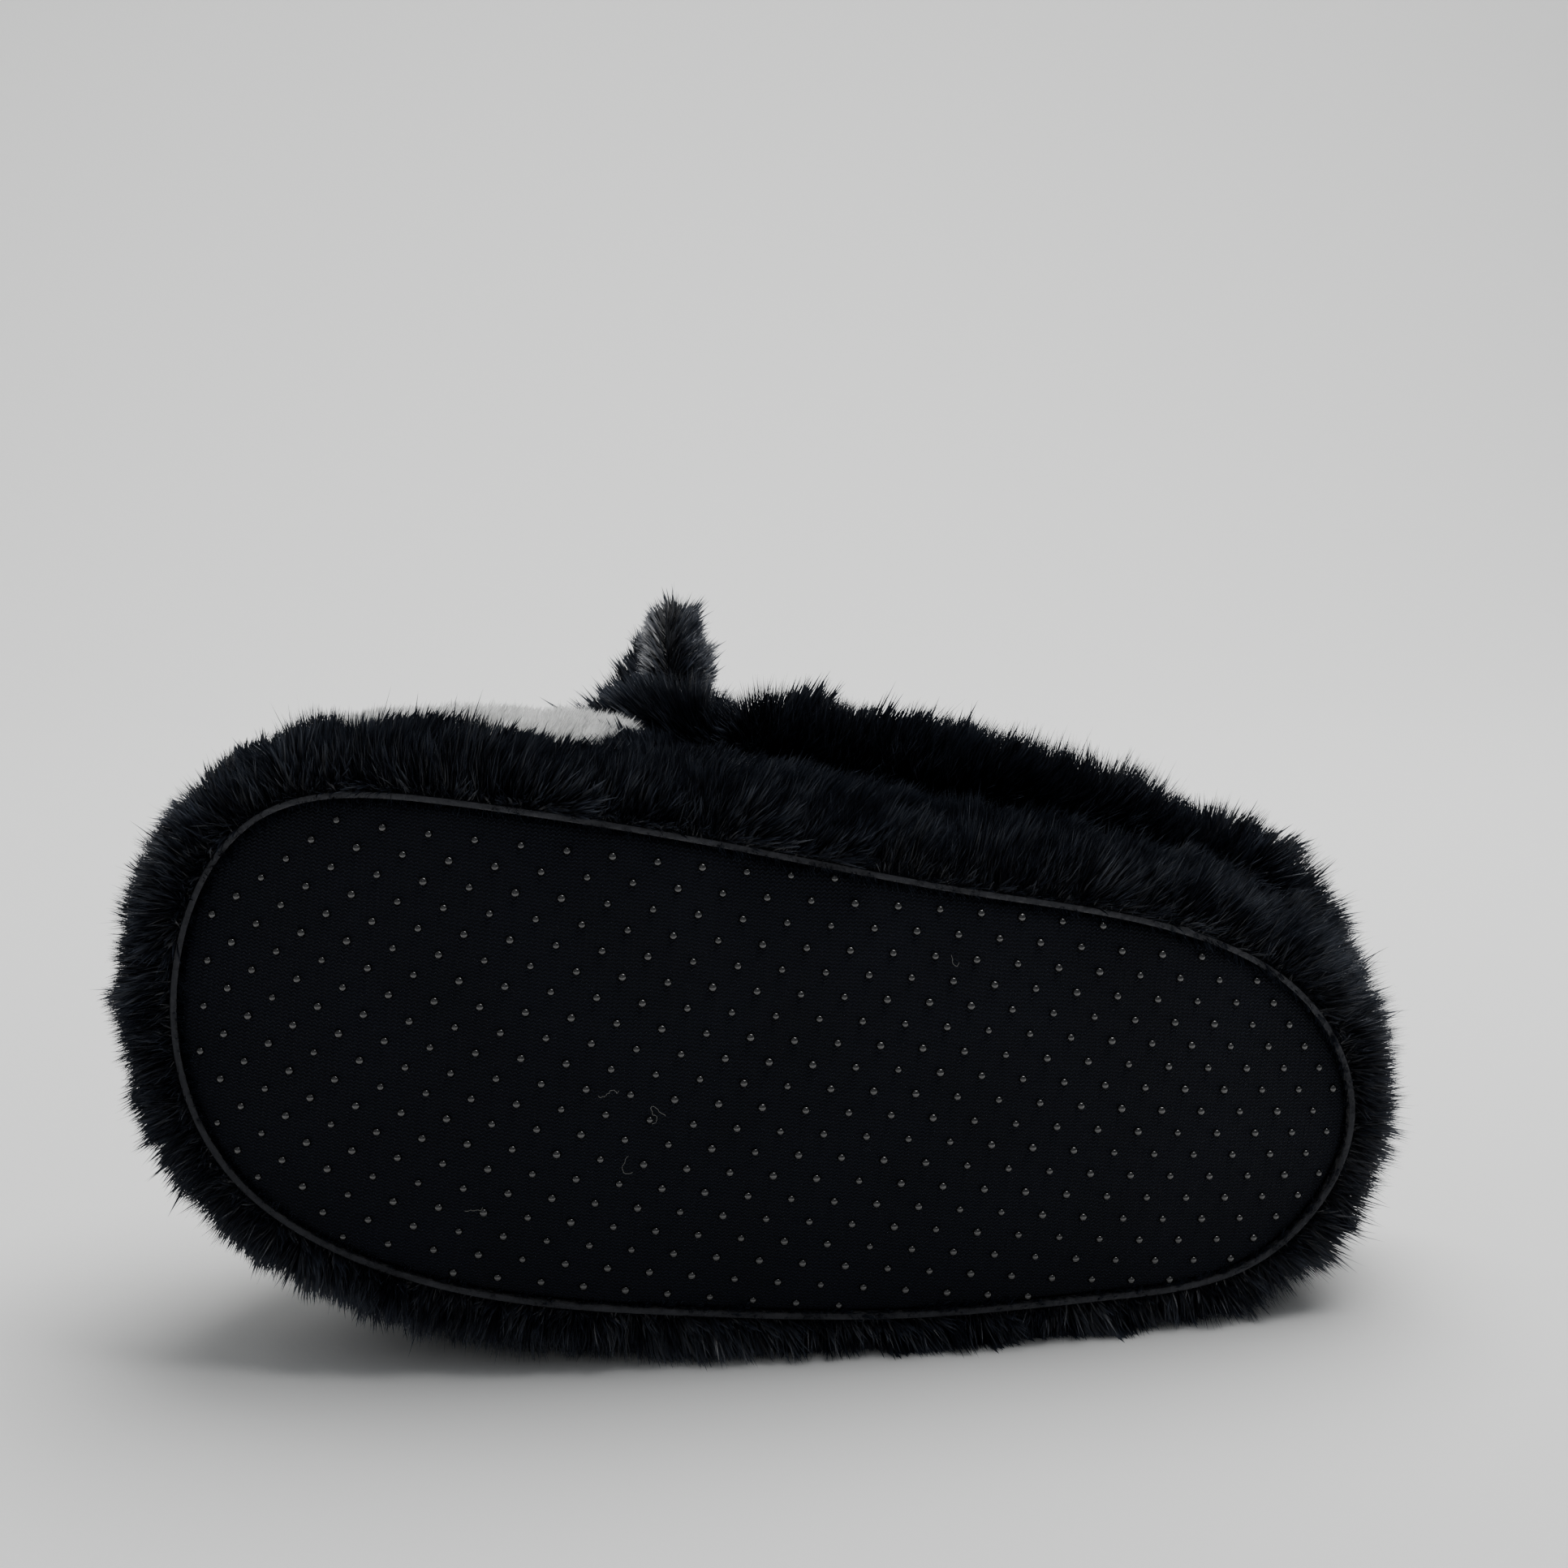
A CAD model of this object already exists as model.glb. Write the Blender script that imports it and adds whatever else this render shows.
"""Looks of the animal slipper: a right foot's plush slipper lying on its outer side, sole to the
front. Pieces are worked out standing, as a maker would draw them, and then laid down."""

import bmesh
import bpy
import numpy as np
from mathutils import Matrix, Vector


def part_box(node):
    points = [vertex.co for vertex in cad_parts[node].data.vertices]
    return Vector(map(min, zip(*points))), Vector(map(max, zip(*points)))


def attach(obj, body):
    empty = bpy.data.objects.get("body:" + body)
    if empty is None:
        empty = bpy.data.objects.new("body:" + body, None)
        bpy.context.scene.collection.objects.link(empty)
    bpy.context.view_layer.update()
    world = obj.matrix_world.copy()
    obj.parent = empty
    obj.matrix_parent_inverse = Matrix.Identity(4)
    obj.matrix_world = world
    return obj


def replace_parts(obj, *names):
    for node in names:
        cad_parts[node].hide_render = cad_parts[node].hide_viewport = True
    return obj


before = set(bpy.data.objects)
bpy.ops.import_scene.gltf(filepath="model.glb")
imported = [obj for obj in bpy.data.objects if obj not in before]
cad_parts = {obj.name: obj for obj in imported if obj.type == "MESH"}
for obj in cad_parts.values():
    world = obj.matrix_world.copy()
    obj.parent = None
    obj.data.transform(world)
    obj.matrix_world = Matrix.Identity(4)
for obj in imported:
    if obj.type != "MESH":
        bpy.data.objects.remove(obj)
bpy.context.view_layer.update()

# The sole. A fine black knit with rubber grip dots is bonded over a foam board, which is crowned
# across, springs up at the toe and heel, and is drawn in where it is sewn to the plush. Its seam
# runs through fourteen sections, taken round from the toe by the outer side.
SOLE_LENGTH = 0.245
BALL_WIDTH = 0.095
INSTEP_HEIGHT = 0.086
TOE_SPRING = 0.020
HEEL_RISE = 0.011
SOLE_CROWN = 0.0055
SOLE_THICKNESS = 0.008
CLEARANCE = 0.0003
SOLE_MIDDLE = np.array([0.47 * SOLE_LENGTH, 0.0])
COLUMNS = ("edge_x", "edge_y", "top_x", "top_y", "top_z", "swell", "rise", "lead_x", "lead_y", "lead_z")
SECTIONS = (
    (0.000, -0.060, 0.405, -0.020, 1.00, 0.10, 0.42, -0.28, 0.00, 0.12),
    (0.059, 0.314, 0.407, 0.140, 0.99, 0.08, 0.42, -0.23, 0.19, 0.11),
    (0.180, 0.461, 0.418, 0.300, 0.96, 0.10, 0.40, -0.11, 0.28, 0.04),
    (0.400, 0.497, 0.480, 0.415, 0.87, 0.10, 0.32, -0.02, 0.17, -0.14),
    (0.620, 0.467, 0.650, 0.410, 0.75, 0.04, 0.24, 0.00, 0.04, -0.28),
    (0.800, 0.402, 0.810, 0.360, 0.71, 0.04, 0.22, 0.01, 0.03, -0.27),
    (0.940, 0.295, 0.935, 0.220, 0.73, 0.05, 0.22, 0.02, 0.03, -0.27),
    (1.000, 0.015, 0.985, -0.020, 0.76, 0.06, 0.22, 0.02, 0.00, -0.28),
    (0.950, -0.243, 0.935, -0.265, 0.73, 0.05, 0.22, 0.02, -0.03, -0.27),
    (0.810, -0.406, 0.810, -0.410, 0.71, 0.04, 0.22, 0.01, -0.03, -0.27),
    (0.620, -0.450, 0.650, -0.475, 0.75, 0.04, 0.24, 0.00, -0.04, -0.28),
    (0.420, -0.496, 0.480, -0.455, 0.87, 0.04, 0.32, -0.02, -0.13, -0.16),
    (0.200, -0.520, 0.418, -0.330, 0.96, 0.04, 0.40, -0.11, -0.24, 0.04),
    (0.055, -0.440, 0.407, -0.180, 0.99, 0.05, 0.42, -0.23, -0.18, 0.11),
)
SCALES = {
    "edge_x": SOLE_LENGTH, "top_x": SOLE_LENGTH, "lead_x": SOLE_LENGTH,
    "edge_y": BALL_WIDTH, "top_y": BALL_WIDTH, "lead_y": BALL_WIDTH, "swell": BALL_WIDTH,
    "top_z": INSTEP_HEIGHT, "rise": INSTEP_HEIGHT, "lead_z": INSTEP_HEIGHT,
}
VALUES = np.array(SECTIONS) * np.array([SCALES[name] for name in COLUMNS])
SPANS = np.linalg.norm(np.roll(VALUES[:, :2], -1, 0) - VALUES[:, :2], axis=1)
KNOTS = np.concatenate([[0], np.cumsum(SPANS)])
KNOTS /= KNOTS[-1]


def column(name, around):
    """One column of the sections as a closed cubic spline, read at places round the shoe."""
    values = VALUES[:, COLUMNS.index(name)]
    count = len(values)
    steps = np.diff(KNOTS)
    slopes = (np.roll(values, -1) - values) / steps
    matrix = np.zeros((count, count))
    for i in range(count):
        matrix[i, i - 1] += steps[i - 1]
        matrix[i, i] += 2 * (steps[i - 1] + steps[i])
        matrix[i, (i + 1) % count] += steps[i]
    bends = np.linalg.solve(matrix, 6 * (slopes - np.roll(slopes, 1)))
    around = np.mod(around, 1.0)
    i = np.clip(np.searchsorted(KNOTS, around, side="right") - 1, 0, count - 1)
    j = (i + 1) % count
    h = steps[i]
    a, b = KNOTS[i + 1] - around, around - KNOTS[i]
    curve = (bends[i] * a**3 + bends[j] * b**3) / (6 * h)
    return curve + (values[i] / h - bends[i] * h / 6) * a + (values[j] / h - bends[j] * h / 6) * b


def rocker(x):
    """Height of the sole's edge: level in the middle, up at the toe and the heel."""
    toe = np.clip(1 - x / (0.40 * SOLE_LENGTH), 0, None)
    heel = np.clip((x / SOLE_LENGTH - 0.60) / 0.40, 0, None)
    return TOE_SPRING * toe**2 + HEEL_RISE * heel**2


def seam(around, out=0.0):
    """The sole's seam in plan, moved outwards by out, and its outward directions."""
    here = np.stack([column("edge_x", around), column("edge_y", around)], -1)
    there = np.stack([column("edge_x", around + 1e-4), column("edge_y", around + 1e-4)], -1)
    along = (there - here) / np.linalg.norm(there - here, axis=1)[:, None]
    outward = np.stack([-along[:, 1], along[:, 0]], -1)
    return here + outward * out, outward


def link(name, mesh):
    """A new object of a mesh, in the scene."""
    made = bpy.data.objects.new(name, mesh)
    bpy.context.scene.collection.objects.link(made)
    return made


def grid_mesh(name, points, round_way, row_way=False):
    """A quad mesh over points[place, row], closed round the places, and round the rows if asked."""
    places, rows = points.shape[:2]
    index = np.arange(places * rows).reshape(places, rows)
    if round_way:
        index = np.vstack([index, index[:1]])
    if row_way:
        index = np.hstack([index, index[:, :1]])
    quads = np.stack([index[:-1, :-1], index[1:, :-1], index[1:, 1:], index[:-1, 1:]], -1).reshape(-1, 4)
    mesh = bpy.data.meshes.new(name)
    mesh.from_pydata(points.reshape(-1, 3).tolist(), [], quads.tolist())
    return mesh


def face_outwards(mesh):
    """Merges doubles and turns every face of a closed mesh outwards, smooth."""
    bm = bmesh.new()
    bm.from_mesh(mesh)
    bmesh.ops.remove_doubles(bm, verts=bm.verts, dist=1e-6)
    bmesh.ops.recalc_face_normals(bm, faces=bm.faces)
    bm.to_mesh(mesh)
    bm.free()
    mesh.shade_smooth()


def close_ends(mesh, cut_up=False):
    """Fills a grid's open ends, cut into triangles if asked, and turns its faces outwards."""
    bm = bmesh.new()
    bm.from_mesh(mesh)
    bmesh.ops.holes_fill(bm, edges=bm.edges)
    if cut_up:
        bmesh.ops.triangulate(bm, faces=[face for face in bm.faces if len(face.verts) > 4])
    bm.to_mesh(mesh)
    bm.free()
    face_outwards(mesh)


def around_at(length_share, outer):
    """The place round the shoe where its seam is at that share of the length."""
    samples = np.linspace(0.0 if outer else 1.0, KNOTS[7], 400)
    along = np.maximum.accumulate(column("edge_x", samples))
    return float(np.interp(length_share * SOLE_LENGTH, along, samples))


BALL_REST = 0.36
HEEL_REST = 0.80
BALL_STANDOFF = 0.0143
HEEL_STANDOFF = 0.0095
BALL = seam(np.array([around_at(BALL_REST, True)]), BALL_STANDOFF)[0][0]
HEEL = seam(np.array([around_at(HEEL_REST, True)]), HEEL_STANDOFF)[0][0]
REST_X, REST_Y = (HEEL - BALL) / np.linalg.norm(HEEL - BALL)
FLOOR_NORMAL = np.array([-REST_Y, REST_X, 0.0])
FLOOR_DISTANCE = float(BALL @ FLOOR_NORMAL[:2])


def lay_matrix():
    """Turns the standing slipper onto its outer side, with the plush of its ball and heel on the
    floor, and puts its sole where the frame has it."""
    low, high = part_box("outsole")
    edge = seam(np.linspace(0, 1, 400))[0] @ np.array([REST_X, REST_Y])
    across = (low[0] + high[0]) / 2 - (edge.min() + edge.max()) / 2
    turn = Matrix(((REST_X, REST_Y, 0.0), (0.0, 0.0, 1.0), (REST_Y, -REST_X, 0.0)))
    return Matrix.Translation((across, low[1] + SOLE_CROWN, FLOOR_DISTANCE)) @ turn.to_4x4()


LAID = lay_matrix()


def lay_down(piece):
    """Puts a piece that was made standing where it lies, in its mesh, and rides it."""
    piece.data.transform(LAID)
    piece.data.update()
    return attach(piece, "root")


def add(tree, kind, links=None, **settings):
    """A node with its settings, and its inputs either linked to sockets or set to values."""
    made = tree.nodes.new(kind)
    for name, value in settings.items():
        setattr(made, name, value)
    for name, value in (links or {}).items():
        socket = made.inputs[name] if isinstance(name, int) else next(
            s for s in made.inputs if s.name == name and s.enabled)
        if isinstance(value, bpy.types.NodeSocket):
            tree.links.new(value, socket)
        else:
            socket.default_value = value
    return made


def first(made):
    """The first output of a node that is in use."""
    return next(socket for socket in made.outputs if socket.enabled)


def maths(tree, operation, a, b=0.0, c=0.0):
    """The result of a Math node."""
    return add(tree, "ShaderNodeMath", {0: a, 1: b, 2: c}, operation=operation).outputs[0]


def vectors(tree, operation, a, b=(0, 0, 0), scale=1.0):
    """The result of a Vector Math node."""
    made = add(tree, "ShaderNodeVectorMath", {0: a}, operation=operation)
    socket, value = (made.inputs["Scale"], scale) if operation == "SCALE" else (made.inputs[1], b)
    if isinstance(value, bpy.types.NodeSocket):
        tree.links.new(value, socket)
    else:
        socket.default_value = value
    return first(made)


def new_material(name, colour, roughness, **sockets):
    """A material with its Principled shader, and the numbers set on that shader's own sockets."""
    made = bpy.data.materials.new(name)
    made.use_nodes = True
    shader = made.node_tree.nodes["Principled BSDF"]
    shader.inputs["Base Color"].default_value = (*colour, 1)
    shader.inputs["Roughness"].default_value = roughness
    for socket, value in sockets.items():
        shader.inputs[socket.replace("_", " ")].default_value = value
    return made, made.node_tree, shader


KNIT_COURSE = 0.00075
KNIT_POINT = 0.00116


def knit_material():
    """Warp knit: zigzag courses 0.75 mm apart, their points 1.16 mm apart, with a little lint."""
    made, tree, shader = new_material("dotted sole knit", (0.004, 0.005, 0.009), 0.78)
    shader.inputs["Specular IOR Level"].default_value = 0.14
    uv = add(tree, "ShaderNodeUVMap", uv_map="metres").outputs[0]
    apart = add(tree, "ShaderNodeSeparateXYZ", {0: uv})
    wander = add(tree, "ShaderNodeTexNoise", {"Vector": uv, "Scale": 30.0, "Detail": 1.0})
    bent = maths(tree, "MULTIPLY_ADD", wander.outputs[0], 0.003, apart.outputs[1])
    zigzag = maths(tree, "PINGPONG", maths(tree, "DIVIDE", apart.outputs[0], KNIT_POINT / 2), 1.0)
    phase = maths(tree, "MULTIPLY_ADD", zigzag, 0.62, maths(tree, "DIVIDE", bent, KNIT_COURSE))
    course = maths(tree, "SINE", maths(tree, "MULTIPLY", phase, 2 * np.pi))
    turn = maths(tree, "ABSOLUTE", maths(tree, "SUBTRACT", zigzag, 0.5))
    fuzz = add(tree, "ShaderNodeTexNoise", {"Vector": uv, "Scale": 2600.0, "Detail": 2.0})
    height = maths(tree, "MULTIPLY_ADD", fuzz.outputs[0], 0.6, maths(tree, "MULTIPLY_ADD", turn, 1.2, course))
    bump = add(tree, "ShaderNodeBump", {"Height": height, "Distance": 0.00026})
    tree.links.new(bump.outputs[0], shader.inputs["Normal"])
    mottle = add(tree, "ShaderNodeTexNoise", {"Vector": uv, "Scale": 40.0, "Detail": 4.0})
    shade = maths(tree, "MULTIPLY_ADD", course, 0.40, maths(tree, "MULTIPLY_ADD", mottle.outputs[0], 0.5, 0.2))
    mix = add(tree, "ShaderNodeMix", data_type="RGBA")
    tree.links.new(shade, mix.inputs["Factor"])
    mix.inputs[6].default_value = (0.0012, 0.0018, 0.0036, 1)
    mix.inputs[7].default_value = (0.0075, 0.0098, 0.0185, 1)
    tree.links.new(mix.outputs[2], shader.inputs["Base Color"])
    return made


def sole_knit():
    places = np.linspace(0, 1, 240, endpoint=False)
    edge = seam(places)[0]
    shares = np.concatenate([np.linspace(0.02, 0.9, 30), [0.93, 0.955, 0.975, 0.988, 0.996, 1.0, 1.0, 0.6]])
    tucks = np.concatenate([np.zeros(31), [0.015, 0.05, 0.11, 0.2, 0.32, 1.0, 1.0]])
    rings = []
    for share, tuck in zip(shares, tucks):
        plan = SOLE_MIDDLE + (edge - SOLE_MIDDLE) * share
        under = rocker(plan[:, 0]) - SOLE_CROWN * (1 - share**2) * (1 - tuck) + SOLE_THICKNESS * tuck
        rings.append(np.column_stack([plan, under]))
    mesh = grid_mesh("sole_knit", np.stack(rings, 1), True)
    close_ends(mesh)
    layer = mesh.uv_layers.new(name="metres")
    where = np.array([vert.co[:2] for vert in mesh.vertices])
    corners = np.array([loop.vertex_index for loop in mesh.loops])
    layer.data.foreach_set("uv", where[corners].ravel())
    mesh.materials.append(knit_material())
    return link("sole_knit", mesh)


knit = sole_knit()


# The grip dots. Small domes of black rubber are printed on the knit, rows 4.6 mm apart, each row
# half a step along from the last. The tree drops a lattice onto the knit from below.
DOT_STEP = 0.0088
DOT_ROWS = 0.00462
DOT_RADIUS = 0.00086
DOT_HEIGHT = 0.00078


def dot_dome():
    """One dot, a dome of a few dozen faces with its foot just inside the knit."""
    turns = np.linspace(0, 2 * np.pi, 10, endpoint=False)
    rings = [np.column_stack([r * np.cos(turns), r * np.sin(turns), np.full(10, z)])
             for r, z in ((1.0, -0.15), (1.0, 0.15), (0.90, 0.52), (0.62, 0.86), (0.22, 1.0))]
    mesh = grid_mesh("dot", np.stack(rings, 1), True)
    close_ends(mesh)
    return link("dot", mesh)


def output_of(tree):
    """The group's input and output nodes, with its Geometry sockets made."""
    tree.interface.new_socket(name="Geometry", in_out="OUTPUT", socket_type="NodeSocketGeometry")
    tree.is_modifier = True
    return tree.nodes.new("NodeGroupInput"), tree.nodes.new("NodeGroupOutput")


def set_inputs(piece, tree, values):
    """Puts a modifier of the tree on a piece, its inputs set by the sockets' identifiers."""
    modifier = piece.modifiers.new(tree.name, "NODES")
    modifier.node_group = tree
    for socket in tree.interface.items_tree:
        if socket.item_type == "SOCKET" and socket.in_out == "INPUT" and socket.name in values:
            modifier[socket.identifier] = values[socket.name]
    return modifier


def grown(name, piece, tree, values):
    """What the tree makes on a piece, as a plain mesh of its own."""
    set_inputs(piece, tree, values)
    bpy.context.view_layer.update()
    graph = bpy.context.evaluated_depsgraph_get()
    mesh = bpy.data.meshes.new_from_object(
        piece.evaluated_get(graph), preserve_all_data_layers=True, depsgraph=graph)
    mesh.name = name
    piece.modifiers.clear()
    return link(name, mesh)


def dots_tree():
    tree = bpy.data.node_groups.new("grip dots", "GeometryNodeTree")
    for name, kind in (("Geometry", "Geometry"), ("Knit", "Object"), ("Dot", "Object"), ("Step", "Float"),
                       ("Rows", "Float"), ("Radius", "Float"), ("Height", "Float"), ("Material", "Material")):
        tree.interface.new_socket(name=name, in_out="INPUT", socket_type="NodeSocket" + kind)
    given, result = output_of(tree)
    along, across = 60, 28
    half = maths(tree, "DIVIDE", given.outputs["Step"], 2.0)
    lattice = add(tree, "GeometryNodeMeshGrid", {
        "Size X": maths(tree, "MULTIPLY", half, along - 1.0),
        "Size Y": maths(tree, "MULTIPLY", given.outputs["Rows"], across - 1.0),
        "Vertices X": along, "Vertices Y": across})
    index = first(add(tree, "GeometryNodeInputIndex"))
    row = maths(tree, "FLOOR", maths(tree, "DIVIDE", maths(tree, "ADD", index, 0.5), float(across)))
    parity = maths(tree, "MODULO", maths(tree, "ADD", row, index), 2.0)
    sway = add(tree, "ShaderNodeTexNoise", {"Vector": first(add(tree, "GeometryNodeInputPosition")),
                                            "Scale": 14.0, "Detail": 0.0}, noise_dimensions="3D")
    sway = vectors(tree, "SCALE", vectors(tree, "SUBTRACT", sway.outputs[1], (0.5, 0.5, 0.5)), scale=0.0032)
    placed = add(tree, "GeometryNodeSetPosition", {
        "Geometry": lattice.outputs["Mesh"], "Offset": vectors(tree, "ADD", sway, (SOLE_LENGTH / 2, 0.0, -0.03))})
    sole = add(tree, "GeometryNodeObjectInfo", {"Object": given.outputs["Knit"]}, transform_space="RELATIVE")
    ray = add(tree, "GeometryNodeRaycast", {
        "Target Geometry": sole.outputs["Geometry"], "Ray Direction": (0, 0, 1), "Ray Length": 0.1})
    level = add(tree, "ShaderNodeSeparateXYZ", {0: ray.outputs["Hit Normal"]}).outputs[2]
    good = add(tree, "FunctionNodeBooleanMath", {
        0: ray.outputs["Is Hit"], 1: maths(tree, "LESS_THAN", level, -0.80)}, operation="AND").outputs[0]
    good = add(tree, "FunctionNodeBooleanMath", {
        0: good, 1: maths(tree, "LESS_THAN", parity, 0.5)}, operation="AND").outputs[0]
    hit = add(tree, "GeometryNodeSetPosition", {
        "Geometry": placed.outputs[0], "Position": ray.outputs["Hit Position"]})
    stored = add(tree, "GeometryNodeStoreNamedAttribute", {
        "Geometry": placed.outputs[0], "Name": "level", "Value": ray.outputs["Hit Normal"]},
        data_type="FLOAT_VECTOR", domain="POINT")
    kept = add(tree, "GeometryNodeStoreNamedAttribute", {
        "Geometry": stored.outputs[0], "Name": "good", "Value": good}, data_type="BOOLEAN", domain="POINT")
    tree.links.new(kept.outputs[0], hit.inputs["Geometry"])
    dome = add(tree, "GeometryNodeObjectInfo", {"Object": given.outputs["Dot"]}).outputs["Geometry"]
    facing = first(add(tree, "GeometryNodeInputNamedAttribute", {"Name": "level"}, data_type="FLOAT_VECTOR"))
    chosen = first(add(tree, "GeometryNodeInputNamedAttribute", {"Name": "good"}, data_type="BOOLEAN"))
    turned = add(tree, "FunctionNodeAlignRotationToVector", {"Vector": facing}, axis="Z")
    size = add(tree, "ShaderNodeCombineXYZ", {
        0: given.outputs["Radius"], 1: given.outputs["Radius"], 2: given.outputs["Height"]})
    jitter = first(add(tree, "FunctionNodeRandomValue", {"Min": 0.9, "Max": 1.1, "Seed": 7}))
    laid = add(tree, "GeometryNodeInstanceOnPoints", {
        "Points": hit.outputs[0], "Selection": chosen, "Instance": dome,
        "Rotation": first(turned), "Scale": vectors(tree, "SCALE", size.outputs[0], scale=jitter)})
    real = add(tree, "GeometryNodeRealizeInstances", {"Geometry": laid.outputs[0]})
    smooth = add(tree, "GeometryNodeSetShadeSmooth", {"Geometry": real.outputs[0]})
    finished = add(tree, "GeometryNodeSetMaterial", {
        "Geometry": smooth.outputs[0], "Material": given.outputs["Material"]})
    tree.links.new(finished.outputs[0], result.inputs[0])
    return tree


def rubber_material():
    made, tree, shader = new_material("grip dot rubber", (0.003, 0.003, 0.0035), 0.08)
    shader.inputs["Specular IOR Level"].default_value = 1.0
    grain = add(tree, "ShaderNodeTexNoise", {
        "Vector": add(tree, "ShaderNodeTexCoord").outputs["Object"], "Scale": 900.0, "Detail": 2.0})
    rough = maths(tree, "MULTIPLY_ADD", grain.outputs[0], 0.10, 0.03)
    tree.links.new(rough, shader.inputs["Roughness"])
    bump = add(tree, "ShaderNodeBump", {"Height": grain.outputs[0], "Distance": 0.00004})
    tree.links.new(bump.outputs[0], shader.inputs["Normal"])
    return made


seed_mesh = bpy.data.meshes.new("dot start")
seed_mesh.from_pydata([(0, 0, 0)], [], [])
starter = link("dot_start", seed_mesh)
DOT = dot_dome()
dots = grown("grip_dots", starter, dots_tree(), {
    "Knit": knit, "Dot": DOT, "Step": DOT_STEP, "Rows": DOT_ROWS, "Radius": DOT_RADIUS, "Height": DOT_HEIGHT,
    "Material": rubber_material()})
bpy.data.objects.remove(starter)
bpy.data.objects.remove(DOT)
for piece, slot in ((knit, "sole_knit"), (dots, "gloss_black")):
    lay_down(piece)
    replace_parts(piece, "outsole")


# The footbed. A soft foam pad under flat fleece fills the floor of the shell from wall to wall.
INSOLE_THICKNESS = 0.006


def lining(around, up):
    """Points of the wall's inner face. up is -1 at the seam, 0 at the top of the sole and 1 at
    the collar, with one row of values for each place round the shoe."""
    plan, outward = seam(around, CLEARANCE)
    foot = np.column_stack([plan, rocker(plan[:, 0]) + SOLE_THICKNESS])
    top = np.stack([column(name, around) for name in ("top_x", "top_y", "top_z")], -1)
    lead = np.stack([column(name, around) for name in ("lead_x", "lead_y", "lead_z")], -1)
    leave = np.column_stack([outward * column("swell", around)[:, None], column("rise", around)])
    foot, knee, neck, top = [p[:, None, :] for p in (foot, foot + leave, top + lead, top)]
    t = np.clip(up, 0, 1)[..., None]
    curve = foot * (1 - t) ** 3 + knee * 3 * t * (1 - t) ** 2 + neck * 3 * t**2 * (1 - t) + top * t**3
    curve[..., 2] += np.clip(up, -1, 0) * SOLE_THICKNESS
    return curve


def fleece_material():
    """Flat brushed fleece: short matted loops in small curls."""
    made, tree, shader = new_material("fleece lining", (0.018, 0.019, 0.023), 0.95, Sheen_Weight=0.15)
    where = add(tree, "ShaderNodeTexCoord").outputs["Object"]
    curl = add(tree, "ShaderNodeTexVoronoi", {"Vector": where, "Scale": 700.0})
    matted = add(tree, "ShaderNodeTexNoise", {"Vector": where, "Scale": 260.0, "Detail": 4.0})
    height = maths(tree, "MULTIPLY_ADD", matted.outputs[0], 1.4, curl.outputs[0])
    bump = add(tree, "ShaderNodeBump", {"Height": height, "Distance": 0.0005, "Strength": 0.8})
    tree.links.new(bump.outputs[0], shader.inputs["Normal"])
    ramp = add(tree, "ShaderNodeMix", data_type="RGBA")
    tree.links.new(matted.outputs[0], ramp.inputs["Factor"])
    ramp.inputs[6].default_value = (0.010, 0.011, 0.014, 1)
    ramp.inputs[7].default_value = (0.034, 0.035, 0.042, 1)
    tree.links.new(ramp.outputs[2], shader.inputs["Base Color"])
    return made


FLEECE = fleece_material()


def footbed():
    places = np.linspace(0, 1, 200, endpoint=False)
    edge = lining(places, np.full((200, 1), 0.03))[:, 0] - np.array([0, 0, SOLE_THICKNESS])
    edge[:, :2] -= seam(places)[1] * 2 * CLEARANCE
    rings = []
    for share, lift in ((0.05, 0.0), (0.5, 0.0), (1.0, 0.0), (1.0, 0.7), (0.985, 0.86), (0.96, 0.95),
                        (0.92, 1.0), (0.7, 1.0), (0.4, 1.0), (0.05, 1.0)):
        plan = SOLE_MIDDLE + (edge[:, :2] - SOLE_MIDDLE) * share
        low = rocker(plan[:, 0]) + SOLE_THICKNESS + CLEARANCE
        rings.append(np.column_stack([plan, low + (INSOLE_THICKNESS - CLEARANCE) * lift]))
    mesh = grid_mesh("footbed", np.stack(rings, 1), True)
    close_ends(mesh)
    mesh.materials.append(FLEECE)
    return link("footbed", mesh)


footbed = lay_down(footbed())
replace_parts(footbed, "insole")

# The shell. Black plush with padding behind it and fleece inside is sewn to the sole's edge, and
# it rolls out over that seam as a thick band. It is thinner where the white face and the cuff
# are sewn on. The skin here is the plush's woven back, and its pile is grown from it.
CLOTH = 0.0045
WALL = 0.0090
BAND_HEIGHT = 0.027
BAND_THICKNESS = 0.0085
BAND_LIP = 0.0022
CUFF_HEIGHT = 0.026
FOLD = 0.0035
SEAM_STEP = 0.0006
FACE_BACK = 0.31
SKIN_DEPTH = 0.0030
SIDE_SKIN = 0.0045
INSIDE = np.array([0.5 * SOLE_LENGTH, 0.0, 0.045])
BAND_CREASES = ((0.03, 0.010, 0.0016), (0.12, 0.008, 0.0014), (0.24, 0.010, 0.0012), (0.41, 0.008, 0.0022),
                (0.49, 0.007, 0.0020), (0.58, 0.009, 0.0014), (0.70, 0.010, 0.0012), (0.83, 0.008, 0.0014),
                (0.93, 0.009, 0.0018))


def shell(around, up, out):
    """Points at a distance out from the lining, along its outward direction."""
    up = np.broadcast_to(up, (len(around), np.shape(up)[-1]))
    here = lining(around, up)
    ahead = lining(around + 1e-4, up) - lining(around - 1e-4, up)
    back = np.where((up > 0.5) | ((up > -0.5) & (up <= 0)), 1e-4, 0)
    climb = lining(around, up + np.where(back > 0, 0, 1e-4)) - lining(around, up - back)
    normal = np.cross(climb, ahead)
    normal /= np.linalg.norm(normal, axis=-1, keepdims=True)
    return here + normal * np.broadcast_to(out, up.shape)[..., None]


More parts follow.
